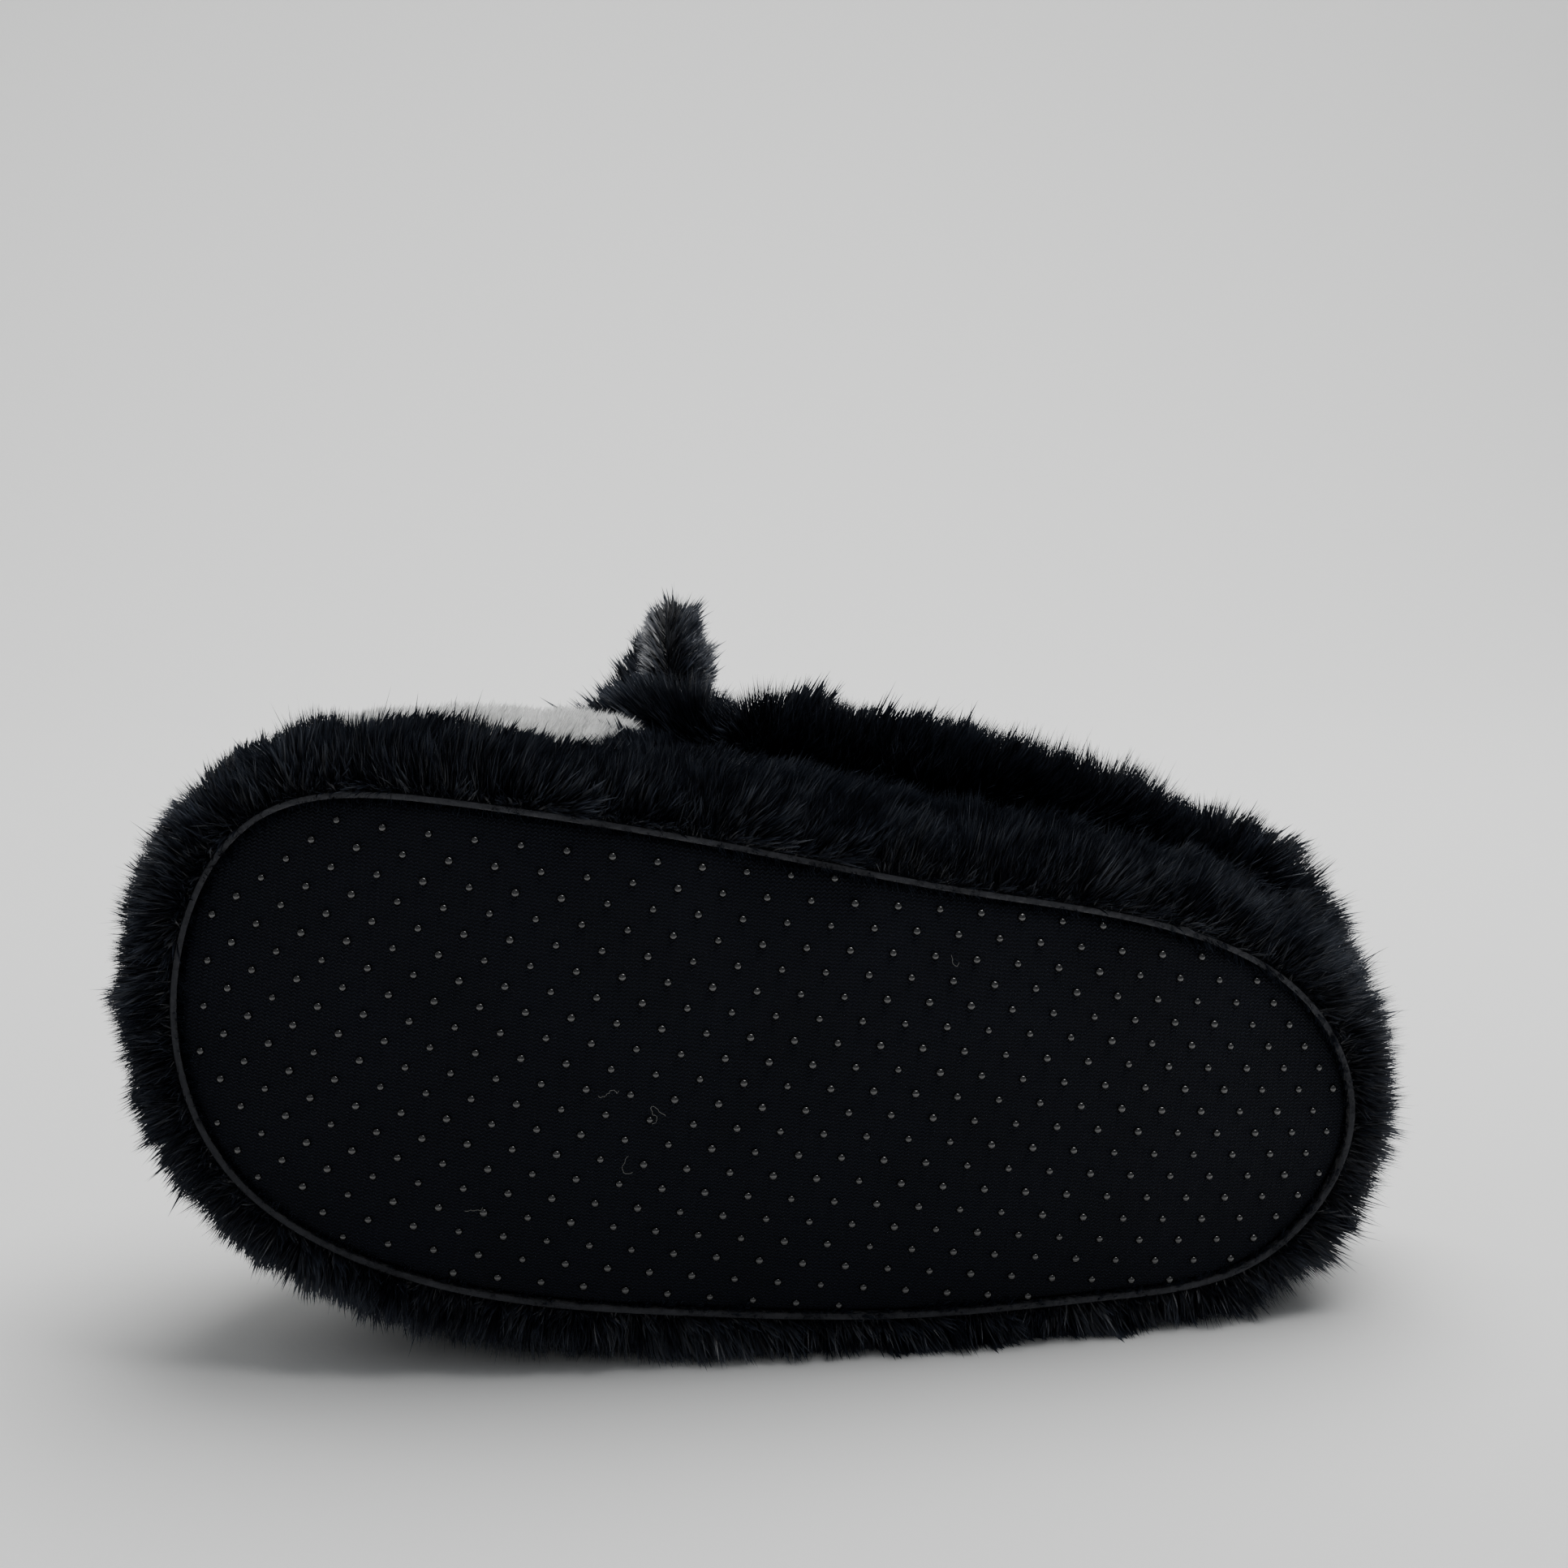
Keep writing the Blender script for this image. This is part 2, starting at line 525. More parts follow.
def up_at(around, levels, from_collar=False):
    """The value of up at heights over the seam, or at depths below the collar along the wall."""
    samples = np.linspace(1, 0, 201) if from_collar else np.linspace(-1, 1, 201)
    curves = lining(around, np.broadcast_to(samples, (len(around), 201)))
    if from_collar:
        runs = np.cumsum(np.linalg.norm(np.diff(curves, axis=1, prepend=curves[:, :1]), axis=2), axis=1)
    else:
        runs = np.maximum.accumulate(curves[..., 2] - curves[:, :1, 2], axis=1)
    levels = np.broadcast_to(levels, (len(around), np.shape(levels)[-1]))
    return np.array([np.interp(level, run, samples) for level, run in zip(levels, runs)])


def band_top(around):
    """Height of the band's top over the seam, which gives way where the cuff comes down to it."""
    cuff_foot = lining(around, up_at(around, [CUFF_HEIGHT + SEAM_STEP], True))
    over_seam = (cuff_foot - lining(around, np.full((len(around), 1), -1.0)))[..., 2]
    return np.minimum(BAND_HEIGHT, over_seam - SEAM_STEP - FOLD)


def soft_creases(around, creases):
    """Depth of hand-placed soft troughs (place, half width, depth) at places round the shoe."""
    depth = np.zeros(len(around))
    for place, width, deep in creases:
        away = np.mod(around - place + 0.5, 1) - 0.5
        depth += deep * np.exp(-((away / width) ** 2))
    return depth


FACE_OUTER = around_at(FACE_BACK, True)
FACE_INNER = around_at(FACE_BACK, False) - 1


def on_floor(points, above=0.0):
    """Presses points that would go below the floor flat onto it."""
    depth = points @ FLOOR_NORMAL - (FLOOR_DISTANCE - above)
    return points - np.clip(depth, 0, None)[..., None] * FLOOR_NORMAL


def band_thickness(share):
    """Thickness of the band at a share of its height: a roll over a thin sewn lip."""
    swell = np.sqrt(1 - (1 - np.clip(share / 0.42, 0, 1)) ** 2)
    ease = np.clip((share - 0.42) / 0.58, 0, 1)
    return BAND_LIP + (BAND_THICKNESS - BAND_LIP) * swell - (BAND_THICKNESS - WALL) * ease**2 * (3 - 2 * ease)


def backing_material(name, colour):
    """The woven back of the plush, which shows only where the pile parts."""
    made, tree, shader = new_material(name, colour, 0.95, Specular_IOR_Level=0.05)
    where = add(tree, "ShaderNodeTexCoord").outputs["Object"]
    weave = add(tree, "ShaderNodeTexNoise", {"Vector": where, "Scale": 1500.0, "Detail": 2.0})
    bump = add(tree, "ShaderNodeBump", {"Height": weave.outputs[0], "Distance": 0.0003})
    tree.links.new(bump.outputs[0], shader.inputs["Normal"])
    return made


BLACK_BACK = backing_material("black plush back", (0.0025, 0.003, 0.0045))
PLACES = np.linspace(0, 1, 220, endpoint=False)


def plush_shell():
    """The whole wall as one closed skin: cloth outside, fleece inside, both in one piece."""
    band = np.linspace(0, 1, 16)
    band_up = up_at(PLACES, band * band_top(PLACES))
    side_from = up_at(PLACES, band_top(PLACES) + SEAM_STEP)
    side_to = up_at(PLACES, [CUFF_HEIGHT + SEAM_STEP], True)
    side_up = side_from + (side_to - side_from) * np.linspace(0, 1, 18)
    cuff_up = up_at(PLACES, np.linspace(CUFF_HEIGHT, 0, 8), True)
    middle = np.mod(PLACES + 0.5, 1) - 0.5
    in_face = (middle > FACE_INNER) & (middle < FACE_OUTER)
    band_out = np.clip(band_thickness(band) - SKIN_DEPTH, 0.0012, None)
    side_out = np.where(in_face, CLOTH, SIDE_SKIN)[:, None]
    outs = np.hstack([np.broadcast_to(band_out, band_up.shape), np.broadcast_to(side_out, side_up.shape),
                      np.full(cuff_up.shape, CLOTH)])
    outer = shell(PLACES, np.hstack([band_up, side_up, cuff_up]), outs)
    inner = lining(PLACES, np.broadcast_to(np.linspace(1, -1, 40), (len(PLACES), 40)))
    mesh = grid_mesh("plush_shell", on_floor(np.concatenate([outer, inner], axis=1), 0.0004), True, True)
    mesh.materials.append(BLACK_BACK)
    mesh.materials.append(FLEECE)
    rows = outer.shape[1] + inner.shape[1]
    inside = np.arange(len(mesh.polygons)) % rows >= outer.shape[1]
    mesh.polygons.foreach_set("material_index", inside.astype(int))
    face_outwards(mesh)
    return link("plush_shell", mesh)


def blade():
    """One fibre of pile, as a thin leaf that can bend, with how far along it each point is."""
    mesh = bpy.data.meshes.new("fibre")
    mesh.from_pydata([(-0.5, 0, 0), (0.5, 0, 0), (0.34, 0, 0.55), (0, 0, 1)], [], [(0, 1, 2), (0, 2, 3)])
    mesh.attributes.new("along", "FLOAT", "POINT").data.foreach_set("value", [0, 0, 0.55, 1])
    return link("fibre", mesh)


def pile_tree():
    """Pile on a cloth: fibres that lean with the nap, swirl, gather in locks and end at the floor."""
    tree = bpy.data.node_groups.new("plush pile", "GeometryNodeTree")
    for name, kind in (("Geometry", "Geometry"), ("Fibre", "Object"), ("Density", "Float"),
                       ("Length", "Float"), ("Width", "Float"), ("Lean", "Float"), ("Swirl", "Float"),
                       ("Swirl Size", "Float"), ("Lock Size", "Float"), ("Gather", "Float"),
                       ("Seed", "Int"), ("Material", "Material")):
        tree.interface.new_socket(name=name, in_out="INPUT", socket_type="NodeSocket" + kind)
    given, result = output_of(tree)
    get = given.outputs

    def named(name, kind):
        return first(add(tree, "GeometryNodeInputNamedAttribute", {"Name": name}, data_type=kind))

    def chance(low, high, salt):
        made = add(tree, "FunctionNodeRandomValue", {
            "Min": low, "Max": high, "Seed": maths(tree, "ADD", get["Seed"], float(salt))})
        return first(made)

    spread = add(tree, "GeometryNodeDistributePointsOnFaces", {
        "Mesh": get["Geometry"], "Seed": get["Seed"],
        "Density": maths(tree, "MULTIPLY", get["Density"], named("thick", "FLOAT"))})
    normal = spread.outputs["Normal"]
    where = first(add(tree, "GeometryNodeInputPosition"))
    swirl = add(tree, "ShaderNodeTexNoise", {
        "Vector": where, "Scale": maths(tree, "DIVIDE", 1.0, get["Swirl Size"]), "Detail": 3.0,
        "Roughness": 0.6})
    patchy = maths(tree, "MULTIPLY_ADD", swirl.outputs[0], 0.6, 0.7)
    swirl = vectors(tree, "SCALE", vectors(tree, "SUBTRACT", swirl.outputs[1], (0.5, 0.5, 0.5)), scale=2.0)
    swirl = vectors(tree, "SCALE", swirl, scale=get["Swirl"])
    nap = vectors(tree, "SCALE", named("nap", "FLOAT_VECTOR"), scale=get["Lean"])
    nap = vectors(tree, "ADD", nap, swirl)
    loose = first(add(tree, "FunctionNodeRandomValue", {
        "Min": (-0.32, -0.32, -0.32), "Max": (0.32, 0.32, 0.32),
        "Seed": maths(tree, "ADD", get["Seed"], 3.0)}, data_type="FLOAT_VECTOR"))
    way = vectors(tree, "ADD", vectors(tree, "ADD", normal, vectors(tree, "SCALE", nap, scale=0.55)), loose)
    cells = vectors(tree, "SCALE", where, scale=maths(tree, "DIVIDE", 1.0, get["Lock Size"]))
    lock = add(tree, "ShaderNodeTexVoronoi", {"Vector": cells, "Scale": 1.0})
    core = vectors(tree, "SCALE", lock.outputs["Position"], scale=get["Lock Size"])
    core = vectors(tree, "SUBTRACT", core, where)
    lift = vectors(tree, "DOT_PRODUCT", core, normal)
    core = vectors(tree, "SUBTRACT", core, vectors(tree, "SCALE", normal, scale=lift))
    tuft = add(tree, "ShaderNodeSeparateXYZ", {0: lock.outputs["Color"]}).outputs[0]
    long = maths(tree, "MULTIPLY", maths(tree, "MULTIPLY", get["Length"], patchy), named("pile", "FLOAT"))
    long = maths(tree, "MULTIPLY", long, chance(0.72, 1.06, 5))
    long = maths(tree, "MULTIPLY", long, maths(tree, "MULTIPLY_ADD", tuft, 0.34, 0.80))
    stray = maths(tree, "MULTIPLY_ADD", maths(tree, "GREATER_THAN", chance(0.0, 1.0, 9), 0.985), 0.28, 1.0)
    long = maths(tree, "MULTIPLY", long, stray)
    bend = vectors(tree, "SCALE", nap, scale=maths(tree, "MULTIPLY", long, 0.62))
    points = spread.outputs["Points"]
    for name, value, kind in (("core", core, "FLOAT_VECTOR"), ("bend", bend, "FLOAT_VECTOR"),
                              ("tuft", tuft, "FLOAT"), ("own", chance(0.0, 1.0, 11), "FLOAT")):
        points = add(tree, "GeometryNodeStoreNamedAttribute", {
            "Geometry": points, "Name": name, "Value": value}, data_type=kind, domain="POINT").outputs[0]
    turned = first(add(tree, "FunctionNodeAlignRotationToVector", {"Vector": way}, axis="Z"))
    twist = add(tree, "FunctionNodeAxisAngleToRotation", {"Axis": (0, 0, 1), "Angle": chance(0.0, 6.283, 13)})
    turned = first(add(tree, "FunctionNodeRotateRotation", {
        "Rotation": turned, "Rotate By": first(twist)}, rotation_space="LOCAL"))
    wide = maths(tree, "MULTIPLY", get["Width"], chance(0.6, 1.25, 15))
    size = add(tree, "ShaderNodeCombineXYZ", {0: wide, 1: wide, 2: long}).outputs[0]
    fibre = add(tree, "GeometryNodeObjectInfo", {"Object": get["Fibre"]}).outputs["Geometry"]
    grown_in = add(tree, "GeometryNodeInstanceOnPoints", {
        "Points": points, "Instance": fibre, "Rotation": turned, "Scale": size})
    real = add(tree, "GeometryNodeRealizeInstances", {"Geometry": grown_in.outputs[0]}).outputs[0]
    along = named("along", "FLOAT")
    pull = maths(tree, "MULTIPLY", maths(tree, "POWER", along, 1.4), get["Gather"])
    moved = vectors(tree, "ADD", first(add(tree, "GeometryNodeInputPosition")),
                    vectors(tree, "SCALE", named("core", "FLOAT_VECTOR"), scale=pull))
    moved = vectors(tree, "ADD", moved, vectors(
        tree, "SCALE", named("bend", "FLOAT_VECTOR"), scale=maths(tree, "MULTIPLY", along, along)))
    depth = vectors(tree, "DOT_PRODUCT", moved, tuple(FLOOR_NORMAL))
    below = maths(tree, "SUBTRACT", depth, FLOOR_DISTANCE - 0.0003)
    raised = vectors(tree, "SCALE", tuple(-FLOOR_NORMAL), scale=maths(tree, "MAXIMUM", below, 0.0))
    bent = add(tree, "GeometryNodeSetPosition", {
        "Geometry": real, "Position": vectors(tree, "ADD", moved, raised)})
    finished = add(tree, "GeometryNodeSetMaterial", {
        "Geometry": bent.outputs[0], "Material": get["Material"]})
    tree.links.new(finished.outputs[0], result.inputs[0])
    return tree


FIBRE = blade()
PILE = pile_tree()


def cloth(name, points, round_way, away, thick, pile, nap):
    """A cloth to grow pile on: its points, how thickly and how long it grows, and its nap. Its
    faces look away from one point, or from a point for each face."""
    mesh = grid_mesh(name, points, round_way)
    facing = np.zeros(3 * len(mesh.polygons))
    mesh.polygons.foreach_get("normal", facing)
    middles = np.zeros(3 * len(mesh.polygons))
    mesh.polygons.foreach_get("center", middles)
    outwards = middles.reshape(-1, 3) - away
    if (facing.reshape(-1, 3) * outwards).sum() < 0:
        mesh.flip_normals()
    count = len(mesh.vertices)
    for key, values in (("thick", thick), ("pile", pile)):
        values = np.broadcast_to(values, points.shape[:2]).ravel()
        mesh.attributes.new(key, "FLOAT", "POINT").data.foreach_set("value", values.astype(float))
    nap = np.broadcast_to(nap, points.shape).reshape(count, 3)
    mesh.attributes.new("nap", "FLOAT_VECTOR", "POINT").data.foreach_set("vector", nap.astype(float).ravel())
    return link(name, mesh)


def grow_pile(name, emitter, material, seed, **sizes):
    """Grows the pile on a cloth, keeps it as a piece of its own and takes the cloth away."""
    values = {"Fibre": FIBRE, "Seed": seed, "Material": material}
    values.update({key.replace("_", " "): value for key, value in sizes.items()})
    made = grown(name, emitter, PILE, values)
    for key in ("core", "bend", "thick", "pile", "nap"):
        if key in made.data.attributes:
            made.data.attributes.remove(made.data.attributes[key])
    bpy.data.meshes.remove(emitter.data)
    return lay_down(made)


def pile_material(name, root, body, tip, roughness, sheen, specular):
    """Fibres: dark at the root, with a paler worn tip, each lock and each fibre a little its own."""
    made, tree, shader = new_material(name, body, roughness)
    shader.inputs["Sheen Weight"].default_value = sheen
    shader.inputs["Sheen Roughness"].default_value = 0.45
    shader.inputs["Specular IOR Level"].default_value = specular
    along = add(tree, "ShaderNodeAttribute", attribute_name="along").outputs["Fac"]
    tuft = add(tree, "ShaderNodeAttribute", attribute_name="tuft").outputs["Fac"]
    own = add(tree, "ShaderNodeAttribute", attribute_name="own").outputs["Fac"]
    ramp = add(tree, "ShaderNodeValToRGB", {"Fac": along})
    ramp.color_ramp.elements[0].color = (*root, 1)
    ramp.color_ramp.elements[1].color = (*tip, 1)
    ramp.color_ramp.elements.new(0.6).color = (*body, 1)
    value = maths(tree, "MULTIPLY_ADD", own, 0.6, maths(tree, "MULTIPLY_ADD", tuft, 0.4, 0.5))
    tone = add(tree, "ShaderNodeHueSaturation", {"Value": value, "Color": ramp.outputs[0]})
    tree.links.new(tone.outputs[0], shader.inputs["Base Color"])
    rough = maths(tree, "MULTIPLY_ADD", own, 0.2, roughness - 0.1)
    tree.links.new(rough, shader.inputs["Roughness"])
    return made


BLACK_PILE = pile_material(
    "black plush pile", (0.0012, 0.0015, 0.0025), (0.0075, 0.0092, 0.015), (0.030, 0.037, 0.053), 0.42, 0.0, 0.4)


def band_cloth():
    shares = np.concatenate([np.linspace(0, 0.12, 7), np.linspace(0.17, 1, 18)])
    out = np.clip(band_thickness(shares) - SKIN_DEPTH, 0.0012, None)
    out = out - soft_creases(PLACES, BAND_CREASES)[:, None] * np.sin(np.pi * shares**0.6)
    points = shell(PLACES, up_at(PLACES, shares * band_top(PLACES)), out)
    outward = np.column_stack([seam(PLACES)[1], np.zeros(len(PLACES))])[:, None, :]
    away = (0.45 * np.clip(1 - shares, 0, 1) - 1.1 * np.clip(1 - shares / 0.07, 0, 1))[None, :, None]
    nap = np.array([0.15, 0.0, -0.12]) + outward * away
    pile = np.clip(0.5 + shares / 0.2, 0, 1)
    return cloth("band_cloth", on_floor(points, 0.0005), True, INSIDE, 1.0, pile, nap)


def fringe_cloth():
    """The cut edge of the plush, a narrow strip that faces down out of the seam."""
    plan, outward = seam(PLACES, 0.0003)
    outward = np.column_stack([outward, np.zeros(len(PLACES))])
    edge = np.column_stack([plan, rocker(plan[:, 0]) + 0.0020])
    points = edge[:, None, :] + outward[:, None, :] * np.array([0.0, 0.0008, 0.0016])[None, :, None]
    nap = (-0.7 * outward + np.array([0.3, 0.0, 0.0]))[:, None, :]
    return cloth("fringe_cloth", points, True, INSIDE, 1.0, 1.0, nap)


def quarter_cloth():
    places = np.linspace(FACE_OUTER + 0.001, FACE_INNER + 0.999, 150)
    low = up_at(places, band_top(places))
    high = up_at(places, [CUFF_HEIGHT - 0.004], True)
    points = shell(places, low + (high - low) * np.linspace(0, 1, 14), SIDE_SKIN)
    ends = np.clip(1 - np.minimum(np.arange(150), np.arange(150)[::-1]) / 9, 0, 1)[:, None, None]
    nap = np.array([0.3, 0.0, -0.3]) + ends * np.array([-1.3, 0.0, 0.2])
    return cloth("quarter_cloth", on_floor(points, 0.0005), False, INSIDE, 1.0, 1.0, nap)


wall = lay_down(plush_shell())
band_pile = grow_pile("band_pile", band_cloth(), BLACK_PILE, 11, Density=4.4e6, Length=0.0080, Width=0.00028,
                      Lean=0.8, Swirl=1.05, Swirl_Size=0.013, Lock_Size=0.0030, Gather=0.62)
fringe = grow_pile("seam_fringe", fringe_cloth(), BLACK_PILE, 13, Density=1.5e7, Length=0.0030, Width=0.00022,
                   Lean=0.8, Swirl=0.9, Swirl_Size=0.010, Lock_Size=0.0022, Gather=0.5)
quarter_pile = grow_pile("quarter_pile", quarter_cloth(), BLACK_PILE, 12, Density=4.2e6, Length=0.0066,
                         Width=0.00028, Lean=0.8, Swirl=0.9, Swirl_Size=0.013, Lock_Size=0.0030, Gather=0.6)
for piece in (wall, band_pile, fringe, quarter_pile):
    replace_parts(piece, "upper")

# The face. White short-pile plush over a thin pad is let in over the vamp, between the black
# band, the quarters and the cuff.
FACE_THICKNESS = 0.0065
PANEL_GAP = 0.0005
FACE_SKIN = 0.0022
WHITE_BACK = backing_material("white plush back", (0.62, 0.62, 0.60))
WHITE_PILE = pile_material(
    "white plush pile", (0.74, 0.74, 0.73), (0.86, 0.86, 0.85), (0.93, 0.93, 0.92), 0.6, 0.2, 0.2)


def face_grid(places, rows, depth, above):
    """The face's top surface, sunk by depth, rounded down towards its edges."""
    low = up_at(places, band_top(places) + SEAM_STEP + PANEL_GAP)
    high = up_at(places, [CUFF_HEIGHT + SEAM_STEP + PANEL_GAP], True)
    shares = np.linspace(0, 1, rows)
    from_edge = np.minimum(shares, 1 - shares)
    ends = np.linspace(0, 1, len(places))
    from_side = np.minimum(ends, 1 - ends)[:, None]
    puff = (0.75 + 0.25 * np.clip(from_edge / 0.12, 0, 1)) * (0.80 + 0.20 * np.clip(from_side / 0.06, 0, 1))
    out = CLOTH + CLEARANCE + FACE_THICKNESS * puff - depth
    return on_floor(shell(places, low + (high - low) * shares, out), above)


def face_cloth():
    """The panel's cloth and pad as a closed slab."""
    places = np.linspace(FACE_INNER + 0.001, FACE_OUTER - 0.001, 90)
    top = face_grid(places, 50, FACE_SKIN, 0.001)
    under = face_grid(places, 50, FACE_THICKNESS * 0.75, 0.001)
    points = np.concatenate([top, under[:, ::-1]], axis=1)
    mesh = grid_mesh("face_cloth", points, False, True)
    close_ends(mesh, True)
    mesh.materials.append(WHITE_BACK)
    return link("face_cloth", mesh)


def face_emitter():
    places = np.linspace(FACE_INNER, FACE_OUTER, 90)
    points = face_grid(places, 50, FACE_SKIN, 0.001)
    return cloth("face_emitter", points, False, INSIDE, 1.0, 1.0, (0.35, 0.0, 0.15))


face_pad = lay_down(face_cloth())
face_pile = grow_pile("face_pile", face_emitter(), WHITE_PILE, 21, Density=5.8e6, Length=0.0042, Width=0.00026,
                      Lean=0.7, Swirl=0.7, Swirl_Size=0.010, Lock_Size=0.0022, Gather=0.38)
for piece in (face_pad, face_pile):
    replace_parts(piece, "face_panel")

# The cuff. A padded roll of the black plush is sewn on round the opening, outside the collar,
# and stands a little over its rim.
CUFF_THICKNESS = 0.0155
CUFF_RISE = 0.005
CUFF_CREASES = ((0.79, 0.012, 0.0035), (0.70, 0.010, 0.0016), (0.60, 0.012, 0.0024), (0.53, 0.010, 0.0020),
                (0.44, 0.012, 0.0020), (0.33, 0.010, 0.0016), (0.21, 0.012, 0.0030), (0.00, 0.020, 0.0012))


def cuff_grid(places, turns, grow):
    """The roll's outline at each place, from its lower edge over the outside to the rim."""
    low, high = CUFF_HEIGHT - PANEL_GAP + grow, -CUFF_RISE - grow
    middle, half = (low + high) / 2, (low - high) / 2
    depths = middle + half * np.cos(turns)
    bulge = (CUFF_THICKNESS + grow - soft_creases(places, CUFF_CREASES))[:, None]
    outs = CLOTH + CLEARANCE + bulge * np.clip(np.sin(turns), 0, None) ** 0.75
    points = shell(places, up_at(places, np.clip(depths, 0, None), True), outs)
    ends = lining(places, np.broadcast_to([1.0, 0.999], (len(places), 2)))
    rise = ends[:, 0] - ends[:, 1]
    rise /= np.linalg.norm(rise, axis=1)[:, None]
    return points + rise[:, None, :] * np.clip(-depths, 0, None)[:, None]


def cuff_roll():
    turns = np.linspace(0, np.pi, 26)
    mesh = grid_mesh("cuff_roll", on_floor(cuff_grid(PLACES, turns, -SKIN_DEPTH), 0.0004), True, True)
    face_outwards(mesh)
    mesh.materials.append(BLACK_BACK)
    return link("cuff_roll", mesh)


def cuff_cloth():
    turns = np.linspace(0.12, np.pi, 30)
    points = cuff_grid(PLACES, turns, -SKIN_DEPTH)
    middle = (cuff_grid(PLACES, np.array([0.0]), 0.0) + cuff_grid(PLACES, np.array([np.pi]), 0.0)) / 2
    away = np.repeat(middle, 29, axis=1).reshape(-1, 3)
    outward = np.column_stack([seam(PLACES)[1], np.zeros(len(PLACES))])[:, None, :]
    from_front = np.abs(np.mod(PLACES + 0.5, 1) - 0.5)
    corner = np.exp(-(((from_front - 0.14) / 0.05) ** 2))[:, None, None]
    nap = np.array([0.2, 0.0, 0.1]) + 0.3 * outward + corner * np.array([-1.2, 0.0, -0.3])
    pile = 1.1 - 0.5 * (turns / np.pi) ** 4 + 0.15 * corner[..., 0]
    return cloth("cuff_cloth", on_floor(points, 0.0005), True, away, 1.0, pile, nap)


cuff = lay_down(cuff_roll())
cuff_pile = grow_pile("cuff_pile", cuff_cloth(), BLACK_PILE, 31, Density=4.2e6, Length=0.0080, Width=0.00028,
                      Lean=0.7, Swirl=1.0, Swirl_Size=0.014, Lock_Size=0.0032, Gather=0.62)
for piece in (cuff, cuff_pile):
    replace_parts(piece, "collar_cuff")

# The ears. Each is two leaves of black plush, turned, lightly stuffed and cupped, and sewn by its
# root into the seam in front of the cuff. The outer one is pressed against the floor.
EAR_LENGTH = 0.044
EAR_WIDTH = 0.035
EAR_THICKNESS = 0.013
EAR_ROOT = 0.009
EAR_PLACE = 0.26
EAR_LOCK = 0.0038


def ear_points(outer, length_way, width_way, turns, rise, trim):
    """Points of the ear's surface, on a sphere that is flattened, cupped and leaned."""
    length = Vector(length_way).normalized()
    thick = length.cross(Vector(width_way)).normalized()
    width = np.array(thick.cross(length))
    length, thick = np.array(length), np.array(thick)
    place = np.array([around_at(EAR_PLACE, outer)])
    root = shell(place, up_at(place, [CUFF_HEIGHT * 0.45], True), CLOTH + CUFF_THICKNESS)[0, 0]
    root = on_floor(root, EAR_THICKNESS / 2 + EAR_LOCK / 2)
    x = np.cos(turns)[:, None] * np.sin(rise)
    y = np.sin(turns)[:, None] * np.sin(rise)
    share = (1 - np.cos(rise)) / 2 * np.ones_like(x)
    spread = EAR_WIDTH / 2 * (1.12 - 0.42 * share) - trim
    along = share * (EAR_LENGTH + EAR_ROOT - trim) - EAR_ROOT
    cup = 0.30 * EAR_THICKNESS * (1 - 2 * x * x)
    deep = y * (EAR_THICKNESS / 2 * (1.15 - 0.35 * share) - trim) + cup
    return root + along[..., None] * length + (x * spread)[..., None] * width + deep[..., None] * thick


def make_ear(name, outer, length_way, width_way, seed):
    turns = np.linspace(0, 2 * np.pi, 40, endpoint=False)
    rise = np.linspace(0.02, np.pi - 0.02, 28)
    points = on_floor(ear_points(outer, length_way, width_way, turns, rise, 0.0022), 0.0008)
    mesh = grid_mesh("ear_pad_" + name, points, True)
    close_ends(mesh)
    mesh.materials.append(BLACK_BACK)
    pad = lay_down(link("ear_pad_" + name, mesh))
    nap = np.array(Vector(length_way).normalized()) * 0.9
    core = points.mean(axis=0, keepdims=True).repeat(40, 0)[:, :-1].reshape(-1, 3)
    thick = np.clip((rise - 0.6) / 0.3, 0, 1)
    emitter = cloth("ear_cloth", points, True, core, thick, 0.92, nap)
    pile = grow_pile("ear_pile_" + name, emitter, BLACK_PILE, seed, Density=5.0e6, Length=0.0068, Width=0.00027,
                     Lean=0.7, Swirl=0.8, Swirl_Size=0.010, Lock_Size=0.0028, Gather=0.6)
    for piece in (pad, pile):
        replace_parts(piece, "ear_" + name)


make_ear("inner", False, (0.08, -0.55, 0.83), (0.30, -0.95, 0.0), 41)
make_ear("outer", True, (0.05, 0.0, 1.0), (1.0, 0.0, 0.0), 42)

# The animal's features. Two slanted oval patches of black plush, each with a glossy domed bead
# for an eye, and a short-piled stuffed nose are all sewn to the white face.
PATCH_WIDTH = 0.024
PATCH_LENGTH = 0.032
PATCH_THICKNESS = 0.0022
EYE_RADIUS = 0.0055
EYE_HEIGHT = 0.0030
NOSE_WIDTH = 0.017
NOSE_LENGTH = 0.012
NOSE_HEIGHT = 0.0055
NOSE_UP = 0.37
EYE_SPREAD = 0.066
EYE_UP = 0.53
BEAD_SHIFT = 0.004
BEAD_UP = 0.52
PATCH_TILT = 0.5
PATCH_RINGS = ((0.05, 0.0), (0.6, 0.0), (1.0, 0.0), (0.99, 0.4), (0.95, 0.72), (0.85, 0.9), (0.6, 1.0),
               (0.05, 1.0))


